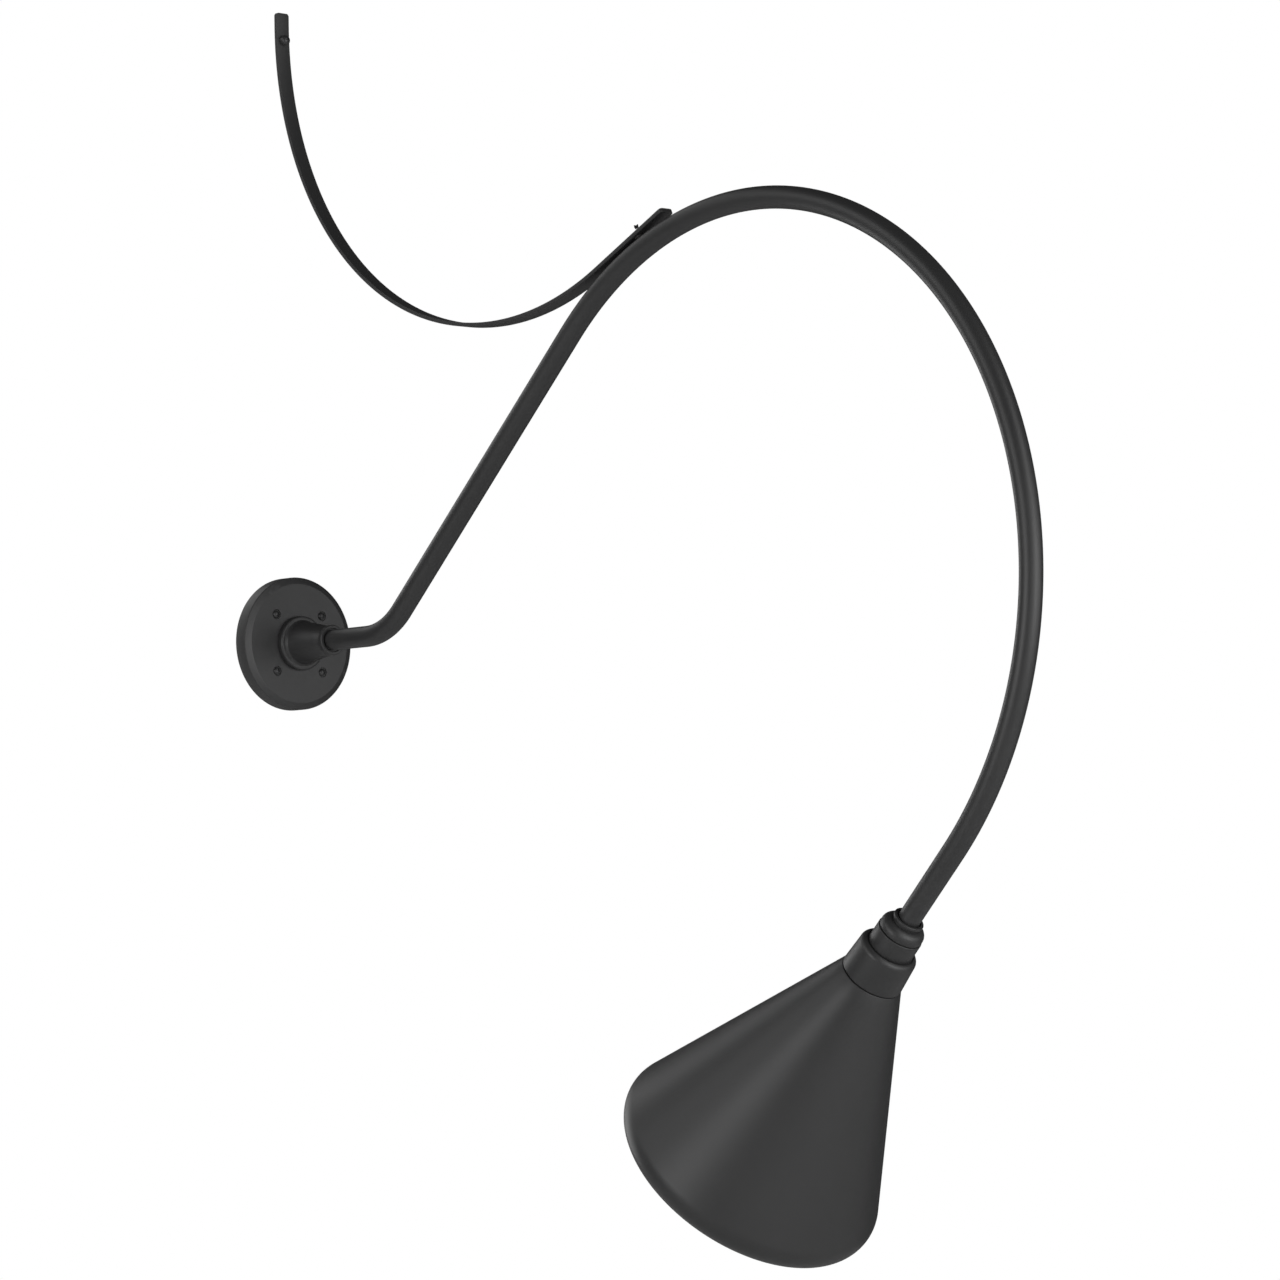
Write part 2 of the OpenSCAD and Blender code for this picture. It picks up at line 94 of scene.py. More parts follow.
def added(
    nodes: bpy.types.Nodes,
    kind: str,
    values: dict[str | int, float | Sequence[float]] | None = None,
    **traits: str | bpy.types.NodeTree,
) -> bpy.types.Node:
    """Adds a shader node.

    Args:
        nodes: the tree's nodes.
        kind: the node's type.
        values: constants for its inputs, by name or number.
        **traits: the node's own settings.

    Returns:
        The node.
    """
    made = nodes.new(kind)
    for name, trait in traits.items():
        setattr(made, name, trait)
    preset(made, values or {})
    return made


class Effects:
    """Shader node groups that several coatings share, each built once."""

    def __init__(self) -> None:
        """Builds every group."""
        self.grain = self._grain()
        self.wear = self._wear()
        self.drift = self._drift()

    @staticmethod
    def _group(name: str, inputs: dict[str, float | None], outputs: Iterable[str]) -> bpy.types.NodeTree:
        """Makes an empty group.

        Args:
            name: the group's name.
            inputs: each input's name and default; None makes it a vector.
            outputs: names of its value outputs.

        Returns:
            The group with an input and an output node.
        """
        tree = bpy.data.node_groups.new(name, "ShaderNodeTree")
        for label, start in inputs.items():
            kind = "NodeSocketVector" if start is None else "NodeSocketFloat"
            socket = tree.interface.new_socket(name=label, in_out="INPUT", socket_type=kind)
            if start is not None:
                socket.default_value = start
        for label in outputs:
            tree.interface.new_socket(name=label, in_out="OUTPUT", socket_type="NodeSocketFloat")
        tree.nodes.new("NodeGroupInput").name = "in"
        tree.nodes.new("NodeGroupOutput").name = "out"
        return tree

    def _grain(self) -> bpy.types.NodeTree:
        """Fine pebbled texture of a sprayed or moulded skin: a height and a tone from 0 to 1."""
        tree = self._group("skin_grain", {"Place": None, "Scale": 900.0, "Coarse": 0.3}, ("Height", "Tone"))
        node, link = tree.nodes, tree.links.new
        fine = added(node, "ShaderNodeTexNoise", {"Detail": 3.0, "Roughness": 0.55})
        cells = added(node, "ShaderNodeTexVoronoi", {"Smoothness": 0.6}, feature="SMOOTH_F1")
        link(node["in"].outputs["Place"], fine.inputs["Vector"])
        link(node["in"].outputs["Place"], cells.inputs["Vector"])
        link(node["in"].outputs["Scale"], fine.inputs["Scale"])
        half = added(node, "ShaderNodeMath", {1: 0.45}, operation="MULTIPLY")
        link(node["in"].outputs["Scale"], half.inputs[0])
        link(half.outputs[0], cells.inputs["Scale"])
        mix = node.new("ShaderNodeMix")
        link(node["in"].outputs["Coarse"], mix.inputs["Factor"])
        link(fine.outputs["Fac"], mix.inputs[2])
        link(cells.outputs["Distance"], mix.inputs[3])
        link(mix.outputs[0], node["out"].inputs["Height"])
        tone = added(node, "ShaderNodeMapRange", {"From Min": 0.3, "From Max": 0.7})
        link(fine.outputs["Fac"], tone.inputs["Value"])
        link(tone.outputs["Result"], node["out"].inputs["Tone"])
        return tree

    def _wear(self) -> bpy.types.NodeTree:
        """Thin, broken rubbing along proud edges: a mask from 0 to 1."""
        tree = self._group("edge_rub", {"Place": None, "Start": 0.53, "Scale": 120.0}, ("Mask",))
        node, link = tree.nodes, tree.links.new
        shape = node.new("ShaderNodeNewGeometry")
        edge = added(node, "ShaderNodeMapRange", {"From Max": 0.62})
        link(shape.outputs["Pointiness"], edge.inputs["Value"])
        link(node["in"].outputs["Start"], edge.inputs["From Min"])
        broken = added(node, "ShaderNodeTexNoise", {"Detail": 4.0})
        link(node["in"].outputs["Place"], broken.inputs["Vector"])
        link(node["in"].outputs["Scale"], broken.inputs["Scale"])
        bite = added(node, "ShaderNodeMapRange", {"From Min": 0.42, "From Max": 0.6})
        link(broken.outputs["Fac"], bite.inputs["Value"])
        both = added(node, "ShaderNodeMath", operation="MULTIPLY")
        link(edge.outputs["Result"], both.inputs[0])
        link(bite.outputs["Result"], both.inputs[1])
        link(both.outputs[0], node["out"].inputs["Mask"])
        return tree

    def _drift(self) -> bpy.types.NodeTree:
        """Slow, broad change over a large surface, as from handling and an uneven spray: 0 to 1."""
        tree = self._group("slow_drift", {"Place": None, "Scale": 9.0}, ("Amount",))
        node, link = tree.nodes, tree.links.new
        broad = added(node, "ShaderNodeTexNoise", {"Detail": 2.0, "Distortion": 0.6})
        link(node["in"].outputs["Place"], broad.inputs["Vector"])
        link(node["in"].outputs["Scale"], broad.inputs["Scale"])
        spread = added(node, "ShaderNodeMapRange", {"From Min": 0.3, "From Max": 0.7})
        link(broad.outputs["Fac"], spread.inputs["Value"])
        link(spread.outputs["Result"], node["out"].inputs["Amount"])
        return tree


@dataclass(frozen=True)
class Finish:
    """One coating, metal, moulding or glaze, with all that sets it apart."""

    name: str
    low: Colour
    high: Colour
    rough: tuple[float, float]
    metal: float = 0.0
    specular: float = 0.5
    coat: float = 0.0
    coat_rough: float = 0.15
    grain_scale: float = 900.0
    grain_coarse: float = 0.3
    grain_depth: float = 0.00004
    grain_strength: float = 0.25
    rub_colour: Colour | None = None
    rub_start: float = 0.53
    rub_scale: float = 120.0
    drift_scale: float = 9.0
    lit: Lit = Lit.OPAQUE

    def material(self, effects: Effects) -> bpy.types.Material:
        """Builds the node material.

        Args:
            effects: the shared shader groups.

        Returns:
            The material.
        """
        made = bpy.data.materials.new(self.name)
        made.use_nodes = True
        made.diffuse_color = (*self.high, 1.0)
        tree = made.node_tree
        node, link = tree.nodes, tree.links.new
        shader = node["Principled BSDF"]
        preset(shader, {"Metallic": self.metal, "Specular IOR Level": self.specular})
        preset(shader, {"Coat Weight": self.coat, "Coat Roughness": self.coat_rough})
        if self.lit is Lit.OPAL:
            preset(shader, {"Subsurface Weight": 0.6, "Subsurface Scale": 0.4})
            preset(shader, {"Subsurface Radius": (0.01, 0.01, 0.009)})
        place = node.new("ShaderNodeTexCoord").outputs["Object"]
        pebbles = {"Scale": self.grain_scale, "Coarse": self.grain_coarse}
        grain = added(node, "ShaderNodeGroup", pebbles, node_tree=effects.grain)
        drift = added(node, "ShaderNodeGroup", {"Scale": self.drift_scale}, node_tree=effects.drift)
        for group in (grain, drift):
            link(place, group.inputs["Place"])
        mottle = added(node, "ShaderNodeMath", {1: 0.5}, operation="MULTIPLY_ADD")
        half = added(node, "ShaderNodeMath", {1: 0.5}, operation="MULTIPLY")
        link(drift.outputs["Amount"], half.inputs[0])
        link(grain.outputs["Tone"], mottle.inputs[0])
        link(half.outputs[0], mottle.inputs[2])
        colour = self._mix(node, self.low, self.high)
        link(mottle.outputs[0], colour.inputs["Factor"])
        shown = colour.outputs[2]
        smooth, dull = self.rough
        gloss = added(node, "ShaderNodeMapRange", {"To Min": smooth, "To Max": dull})
        link(mottle.outputs[0], gloss.inputs["Value"])
        if self.rub_colour is not None:
            edges = {"Start": self.rub_start, "Scale": self.rub_scale}
            rub = added(node, "ShaderNodeGroup", edges, node_tree=effects.wear)
            link(place, rub.inputs["Place"])
            over = self._mix(node, self.low, self.rub_colour)
            link(rub.outputs["Mask"], over.inputs["Factor"])
            link(shown, over.inputs[6])
            shown = over.outputs[2]
        link(shown, shader.inputs["Base Color"])
        link(gloss.outputs["Result"], shader.inputs["Roughness"])
        relief = {"Strength": self.grain_strength, "Distance": self.grain_depth}
        bump = added(node, "ShaderNodeBump", relief)
        link(grain.outputs["Height"], bump.inputs["Height"])
        link(bump.outputs["Normal"], shader.inputs["Normal"])
        return made

    @staticmethod
    def _mix(nodes: bpy.types.Nodes, first: Colour, second: Colour) -> bpy.types.Node:
        """A colour mix between two colours.

        Args:
            nodes: the material's nodes.
            first: colour at factor 0.
            second: colour at factor 1.

        Returns:
            The mix node; its colours are inputs 6 and 7 and its result is output 2.
        """
        return added(nodes, "ShaderNodeMix", {6: (*first, 1.0), 7: (*second, 1.0)}, data_type="RGBA")


SATIN_BLACK = Finish(
    "satin_black_coat",
    low=(0.0185, 0.0185, 0.0188),
    high=(0.0225, 0.0225, 0.0229),
    rough=(0.42, 0.48),
    specular=0.42,
    grain_scale=1100.0,
    grain_coarse=0.35,
    grain_depth=0.00006,
    grain_strength=0.3,
    rub_colour=(0.032, 0.032, 0.033),
    rub_start=0.54,
)
BLACK_SCREW = Finish(
    "black_oxide_steel",
    low=(0.015, 0.015, 0.0155),
    high=(0.024, 0.024, 0.025),
    rough=(0.34, 0.46),
    specular=0.5,
    grain_scale=1600.0,
    grain_strength=0.15,
    rub_colour=(0.09, 0.088, 0.085),
    rub_scale=400.0,
)
WHITE_ENAMEL = Finish(
    "white_enamel",
    low=(0.76, 0.76, 0.74),
    high=(0.82, 0.82, 0.8),
    rough=(0.22, 0.32),
    grain_scale=500.0,
    grain_strength=0.12,
)
ZINC = Finish(
    "zinc_plate",
    low=(0.5, 0.51, 0.53),
    high=(0.68, 0.69, 0.7),
    rough=(0.28, 0.44),
    metal=1.0,
    grain_scale=700.0,
    grain_coarse=0.6,
    grain_strength=0.12,
    drift_scale=60.0,
)
BRASS = Finish(
    "bright_brass",
    low=(0.62, 0.44, 0.18),
    high=(0.78, 0.6, 0.29),
    rough=(0.24, 0.38),
    metal=1.0,
    grain_scale=900.0,
    grain_strength=0.1,
    drift_scale=70.0,
)
NICKEL = Finish(
    "nickel_plate",
    low=(0.6, 0.58, 0.54),
    high=(0.74, 0.72, 0.68),
    rough=(0.18, 0.3),
    metal=1.0,
    grain_scale=1200.0,
    grain_strength=0.08,
    drift_scale=80.0,
)
RUBBER = Finish(
    "seal_rubber",
    low=(0.012, 0.012, 0.012),
    high=(0.022, 0.022, 0.022),
    rough=(0.7, 0.85),
    specular=0.3,
    grain_scale=1500.0,
    grain_strength=0.4,
)
FOAM = Finish(
    "cell_foam",
    low=(0.012, 0.012, 0.012),
    high=(0.035, 0.035, 0.035),
    rough=(0.85, 0.95),
    specular=0.2,
    grain_scale=1300.0,
    grain_coarse=0.9,
    grain_depth=0.0003,
    grain_strength=0.8,
)
PORCELAIN = Finish(
    "glazed_porcelain",
    low=(0.78, 0.75, 0.68),
    high=(0.85, 0.83, 0.77),
    rough=(0.12, 0.22),
    coat=0.4,
    coat_rough=0.08,
    grain_scale=260.0,
    grain_strength=0.08,
    drift_scale=40.0,
)
LEAD_BLACK = Finish(
    "lead_skin_black", low=(0.015,) * 3, high=(0.03,) * 3, rough=(0.35, 0.5), grain_scale=1800.0
)
LEAD_WHITE = Finish(
    "lead_skin_white", low=(0.72, 0.72, 0.69), high=(0.82, 0.82, 0.79), rough=(0.35, 0.5), grain_scale=1800.0
)
GREEN_SCREW = Finish(
    "green_screw_coat",
    low=(0.012, 0.15, 0.04),
    high=(0.02, 0.22, 0.065),
    rough=(0.32, 0.45),
    grain_scale=1500.0,
    rub_colour=(0.3, 0.32, 0.3),
    rub_scale=300.0,
)
SPLICE_SHELL = Finish(
    "splice_shell", low=(0.55, 0.16, 0.02), high=(0.66, 0.21, 0.03), rough=(0.3, 0.42), grain_scale=1300.0
)
LAMP_PLASTIC = Finish(
    "lamp_body_plastic", low=(0.8, 0.8, 0.79), high=(0.85, 0.85, 0.84), rough=(0.3, 0.4), grain_scale=1400.0
)
LAMP_GLASS = Finish(
    "lamp_insulator_glass",
    low=(0.012, 0.012, 0.014),
    high=(0.02, 0.02, 0.024),
    rough=(0.1, 0.18),
    coat=0.5,
    grain_scale=600.0,
    grain_strength=0.05,
)
OPAL = Finish(
    "opal_globe",
    low=(0.86, 0.85, 0.81),
    high=(0.9, 0.89, 0.85),
    rough=(0.34, 0.42),
    grain_scale=1600.0,
    grain_strength=0.08,
    lit=Lit.OPAL,
)

SLOT_FINISHES: dict[str, Finish] = {
    "black_coat": SATIN_BLACK,
    "black_steel": BLACK_SCREW,
    "green_steel": GREEN_SCREW,
    "zinc": ZINC,
    "white_coat": WHITE_ENAMEL,
    "gasket_foam": FOAM,
    "seal_rubber": RUBBER,
    "lead_black": LEAD_BLACK,
    "lead_white": LEAD_WHITE,
    "splice_shell": SPLICE_SHELL,
    "porcelain": PORCELAIN,
    "brass": BRASS,
    "nickel": NICKEL,
    "lamp_insulator": LAMP_GLASS,
    "lamp_plastic": LAMP_PLASTIC,
    "opal_plastic": OPAL,
}


class Paintshop:
    """Makes each finish's material once and hands it out."""

    def __init__(self) -> None:
        """Builds the shared effects and an empty shelf."""
        self.effects = Effects()
        self.shelf: dict[str, bpy.types.Material] = {}

    def get(self, finish: Finish) -> bpy.types.Material:
        """The material of a finish, made the first time it is asked for."""
        if finish.name not in self.shelf:
            self.shelf[finish.name] = finish.material(self.effects)
        return self.shelf[finish.name]


# ---------------------------------------------------------------- mesh making


def polar(radius: float, degrees: float) -> Point:
    """A point at that radius and angle about the origin."""
    return radius * math.cos(math.radians(degrees)), radius * math.sin(math.radians(degrees))


def softened(corners: Sequence[Corner], closed: bool = True, steps: int = 7) -> list[Point]:
    """Rounds the corners of an outline.

    Args:
        corners: (x, y, rounding radius) of each corner in order; 0 keeps it sharp.
        closed: whether the outline's last corner joins its first.
        steps: segments in each rounded corner.

    Returns:
        The outline's points.
    """
    count, out = len(corners), []
    for i, (x, y, radius) in enumerate(corners):
        here = Vector((x, y))
        if radius <= 0 or (not closed and i in (0, count - 1)):
            out.append((x, y))
            continue
        before = Vector(corners[i - 1][:2]) - here
        after = Vector(corners[(i + 1) % count][:2]) - here
        half = before.angle(after) / 2
        if half > math.radians(89.5):
            out.append((x, y))
            continue
        trim = min(radius / math.tan(half), 0.49 * before.length, 0.49 * after.length)
        radius = trim * math.tan(half)
        before.normalize()
        after.normalize()
        centre = here + (before + after).normalized() * (radius / math.sin(half))
        start, end = here + before * trim - centre, here + after * trim - centre
        turn = start.angle_signed(end)
        for k in range(steps + 1):
            spoke = start.copy()
            spoke.rotate(Matrix.Rotation(-turn * k / steps, 2))
            out.append(tuple(centre + spoke))
    return out


def arc(cx: float, cy: float, radius: float, start: float, end: float, steps: int = 16) -> list[Point]:
    """Points of an arc.

    Args:
        cx: the centre's x.
        cy: the centre's y.
        radius: the arc's radius.
        start: first angle in degrees.
        end: last angle in degrees.
        steps: segments.

    Returns:
        The points, both ends included.
    """
    turned = (polar(radius, start + (end - start) * k / steps) for k in range(steps + 1))
    return [(cx + x, cy + y) for x, y in turned]


@dataclass(frozen=True)
class Line:
    """A straight line in the arm's plane that turned pieces stand on."""

    x: float
    z: float
    heading: float

    def matrix(self) -> Matrix:
        """Carries local z onto the line and local y onto +Y."""
        angle = math.radians(self.heading)
        c, s = math.cos(angle), math.sin(angle)
        return Matrix(((s, 0, c, self.x * MM), (0, 1, 0, 0), (-c, 0, s, self.z * MM), (0, 0, 0, 1)))


class Mesh:
    """Collects rows of points and the faces between them, then makes one object."""

    def __init__(self, name: str) -> None:
        """Starts an empty mesh.

        Args:
            name: the object's name.
        """
        self.name = name
        self.points: list[Vector] = []
        self.faces: list[tuple[int, ...]] = []
        self.paint: list[int] = []

    def row(self, points: Iterable[Vector]) -> list[int]:
        """Adds points and returns their numbers."""
        start = len(self.points)
        self.points.extend(points)
        return list(range(start, len(self.points)))

    def face(self, corners: Sequence[int], paint: int = 0) -> None:
        """Adds one face with that finish number."""
        self.faces.append(tuple(corners))
        self.paint.append(paint)

    def skin(self, rows: Sequence[list[int]], wrap: bool = False, paint: Sequence[int] | int = 0) -> None:
        """Joins rings of points with faces.

        Args:
            rows: rings of point numbers; a ring of one point closes a pole.
            wrap: whether the last ring joins the first.
            paint: one finish number, or one for each band of faces.
        """
        pairs = list(zip(rows, [*rows[1:], rows[0]] if wrap else rows[1:]))
        for band, (a, b) in enumerate(pairs):
            tint = paint if isinstance(paint, int) else paint[band]
            count = max(len(a), len(b))
            for i in range(count):
                j = (i + 1) % count
                if len(a) == 1:
                    self.face((a[0], b[i], b[j]), tint)
                elif len(b) == 1:
                    self.face((a[i], b[0], a[j]), tint)
                else:
                    self.face((a[i], b[i], b[j], a[j]), tint)

    def turn(
        self,
        outline: Sequence[Point],
        place: Matrix,
        wrap: bool = True,
        steps: int = 128,
        paint: Sequence[int] | int = 0,
    ) -> None:
        """Turns an outline about local z.

        Args:
            outline: (radius, height) points in millimetres; radius 0 is a pole.
            place: the matrix from local to the row's frame.
            wrap: whether the outline is a closed loop.
            steps: points round each ring.
            paint: one finish number, or one for each band.
        """
        rows = []
        for radius, height in outline:
            if radius < 1e-6:
                rows.append(self.row([place @ Vector((0, 0, height * MM))]))
                continue
            ring = (polar(radius * MM, 360 * k / steps) for k in range(steps))
            rows.append(self.row([place @ Vector((x, y, height * MM)) for x, y in ring]))
        self.skin(rows, wrap, paint)

    def thread(
        self,
        radius: float,
        depth: float,
        pitch: float,
        height: float,
        place: Matrix,
        round_form: bool = False,
        steps: int = 48,
    ) -> None:
        """A closed rod with a helical thread that fades at both ends, from local z 0 up.

        Args:
            radius: crest radius.
            depth: thread depth.
            pitch: rise of a turn.
            height: the rod's length.
            place: the matrix from local to the row's frame.
            round_form: a rolled, wavy form in place of a sharp one.
            steps: points round each ring.
        """
        per_turn = 12
        count = max(2, round(height / pitch * per_turn))
        rows = [self.row([place @ Vector((0, 0, 0))])]
        for j in range(count + 1):
            z = height * j / count
            fade = min(1.0, z / pitch, (height - z) / pitch)
            ring = []
            for i in range(steps):
                phase = (z / pitch - i / steps) % 1.0
                form = 0.5 - 0.5 * math.cos(2 * math.pi * phase) if round_form else abs(2 * phase - 1)
                x, y = polar((radius - depth + depth * form * fade) * MM, 360 * i / steps)
                ring.append(place @ Vector((x, y, z * MM)))
            rows.append(self.row(ring))
        rows.append(self.row([place @ Vector((0, 0, height * MM))]))
        self.skin(rows)

    def build(self, finishes: Sequence[bpy.types.Material], sharp: float = 32.0) -> bpy.types.Object:
        """Makes the object, with outward normals and smooth faces parted at sharp edges.

        Args:
            finishes: the object's materials in slot order.
            sharp: edges bent more than this many degrees stay sharp.

        Returns:
            The object, linked to the scene.
        """
        data = bpy.data.meshes.new(self.name)
        data.from_pydata([tuple(p) for p in self.points], [], self.faces)
        for finish in finishes:
            data.materials.append(finish)
        data.polygons.foreach_set("material_index", self.paint)
        self._face_out(data)
        data.shade_smooth()
        data.set_sharp_from_angle(angle=math.radians(sharp))
        made = bpy.data.objects.new(self.name, data)
        bpy.context.scene.collection.objects.link(made)
        return made

    @staticmethod
    def _face_out(data: bpy.types.Mesh) -> None:
        """Turns every face of the mesh outwards."""
        work = bmesh.new()
        work.from_mesh(data)
        bmesh.ops.recalc_face_normals(work, faces=work.faces)
        work.to_mesh(data)
        work.free()


# ---------------------------------------------------------------- routes


@dataclass(frozen=True)
class Station:
    """A place on a route: a point, the way it heads, and how far along it is."""

    x: float
    z: float
    heading: float
    far: float

    def out(self, upward: float, side: float) -> Vector:
        """A point off the route.

        Args:
            upward: distance to the left of the heading, in the arm's plane.
            side: distance along +Y.

        Returns:
            The point in metres.
        """
        nx, nz = polar(upward, self.heading + 90)
        return Vector(((self.x + nx) * MM, side * MM, (self.z + nz) * MM))


@dataclass(frozen=True)
class Route:
    """A chain of straight runs and bends in the arm's plane, each (length or radius, turn in degrees)."""

    start: Station
    legs: tuple[tuple[float, float], ...]

    def stations(self, bend_step: float = 1.5, run_step: float = 1e9) -> list[Station]:
        """Places along the whole route.

        Args:
            bend_step: degrees between places in a bend.
            run_step: distance between places on a straight run.

        Returns:
            The places in order.
        """
        out = [self.start]
        for size, turn in self.legs:
            here = out[-1]
            if turn == 0:
                count = max(1, math.ceil(size / run_step))
                dx, dz = polar(size / count, here.heading)
                for k in range(1, count + 1):
                    far = here.far + size * k / count
                    out.append(Station(here.x + dx * k, here.z + dz * k, here.heading, far))
                continue
            count, hand = math.ceil(abs(turn) / bend_step), math.copysign(1, turn)
            cx, cz = polar(size * hand, here.heading + 90)
            cx, cz = here.x + cx, here.z + cz
            for k in range(1, count + 1):
                heading = here.heading + turn * k / count
                rx, rz = polar(size * hand, heading - 90)
                far = here.far + size * math.radians(abs(turn)) * k / count
                out.append(Station(cx + rx, cz + rz, heading, far))
        return out

    def end(self) -> Station:
        """The route's last place."""
        return self.stations()[-1]


@dataclass(frozen=True)
class ArmRoute:
    """The arm's centreline from the wall to the neck."""

    first_x: float = 127.3
    first_radius: float = 81.8
    rise: float = 43.0
    run: float = 358.5
    arch_radius: float = 352.6
    arch: float = 177.6

    def route(self, from_x: float, tail: float) -> Route:
        """The centreline between two places.

        Args:
            from_x: distance from the wall where it starts.
            tail: distance past the arch's end where it stops.

        Returns:
            The route.
        """
        legs = (
            (self.first_x - from_x, 0.0),
            (self.first_radius, self.rise),
            (self.run, 0.0),
            (self.arch_radius, -self.arch),
            (tail, 0.0),
        )
        return Route(Station(from_x, 0.0, 0.0, 0.0), legs)

    def neck(self) -> Line:
        """The neck's line, from the arch's end."""
        whole = self.route(0.0, 1.0)
        end = Route(whole.start, whole.legs[:-1]).end()
        return Line(end.x, end.z, end.heading)


ARM = ArmRoute()
HUB_LINE = Line(0.0, 0.0, 0.0)
NECK_LINE = ARM.neck()


# ---------------------------------------------------------------- sub-assemblies


@dataclass
class SubAssembly:
    """Shared work of every sub-assembly: making pieces, putting them on bodies, and saying so."""

    shop: Paintshop
    pieces: list[str] = field(default_factory=list, init=False)

    def settle(
        self, piece: bpy.types.Object, body: Body, slot: str, replaced: Sequence[str] = ()
    ) -> None:
        """Puts a piece on its body and notes what it stands for.

        Args:
            piece: the finished object.
            body: the body it rides on.
            slot: not used; the record's material slot that the piece's finish matches.
            replaced: names of the CAD nodes it replaces.
        """
        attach(piece, body.value)
        if replaced:
            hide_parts(*replaced)
        self.pieces.append(piece.name)
        told = ", ".join(replaced) or "nothing"
        LOG.info("%s rides on %s and replaces %s", piece.name, body.value, told)


@dataclass
class RoundHead:
    """A round-head screw with a cross recess and a threaded end."""

    head: float
    rise: float
    shank: float
    stud: float
    reach: float
    thread_from: float
    side: float = 0.0
    pitch: float = 1.2
    foot: float = 0.25

    def add_to(self, mesh: Mesh, place: Matrix) -> None:
        """Adds the screw to a mesh, its head standing on local z 0.

        Args:
            mesh: the mesh to add to.
            place: the matrix from local to the row's frame.
        """
        dome = (self.head**2 / 4 + self.rise**2) / (2 * self.rise)
        start = math.degrees(math.asin((dome - self.rise) / dome))
        cap = arc(0.0, self.side + self.rise - dome, dome, start, 90.0, 14)
        cap[-1] = (0.0, self.side + self.rise)
        smooth = self.shank - 0.02
        outline = [(0.0, -self.thread_from), (smooth, -self.thread_from), (smooth, -0.3), (smooth + 0.3, 0.0)]
        outline += [(self.head / 2 - self.foot, 0.0), (self.head / 2 - self.foot * 0.3, self.foot * 0.3)]
        mesh.turn([*outline, *cap], place, wrap=False, steps=64)
        if self.reach > self.thread_from:
            lower = place @ Matrix.Translation((0, 0, -self.reach * MM))
            depth = self.pitch * 0.45
            mesh.thread(self.stud, depth, self.pitch, self.reach - self.thread_from, lower)

    def recess(self, name: str, places: Sequence[Matrix]) -> bpy.types.Object:
        """Makes the cutter of the cross recess in every head.

        Args:
            name: the cutter's name.
            places: each screw's matrix.

        Returns:
            The cutter, to be removed after the cut.
        """
        mesh, half, wide = Mesh(name), self.head * 0.27, 0.5
        plan = [(half, wide), (wide, wide), (wide, half), (-wide, half), (-wide, wide), (-half, wide)]
        plan += [(-x, -y) for x, y in plan]
        for place in places:
            rows = []
            for height, shrink in ((self.side + self.rise * 0.42, 0.72), (self.side + self.rise + 1.0, 1.0)):
                spots = (Vector((x * shrink * MM, y * shrink * MM, height * MM)) for x, y in plan)
                rows.append(mesh.row([place @ spot for spot in spots]))
            mesh.skin(rows)
            mesh.face(rows[0][::-1])
            mesh.face(rows[1])
        return mesh.build([])


def carve(piece: bpy.types.Object, cutter: bpy.types.Object, sharp: float = 32.0) -> None:
    """Cuts one object out of another and removes the cutter.

    Args:
        piece: the object to cut.
        cutter: the object to take away.
        sharp: edges bent more than this many degrees stay sharp.
    """
    cut = piece.modifiers.new("cut", "BOOLEAN")
    cut.operation, cut.solver, cut.object = "DIFFERENCE", "EXACT", cutter
    solved = piece.evaluated_get(bpy.context.evaluated_depsgraph_get())
    data = bpy.data.meshes.new_from_object(solved)
    old = piece.data
    piece.modifiers.clear()
    piece.data = data
    data.name = piece.name
    data.shade_smooth()
    data.set_sharp_from_angle(angle=math.radians(sharp))
    bpy.data.meshes.remove(old)
    spent = cutter.data
    bpy.data.objects.remove(cutter)
    bpy.data.meshes.remove(spent)


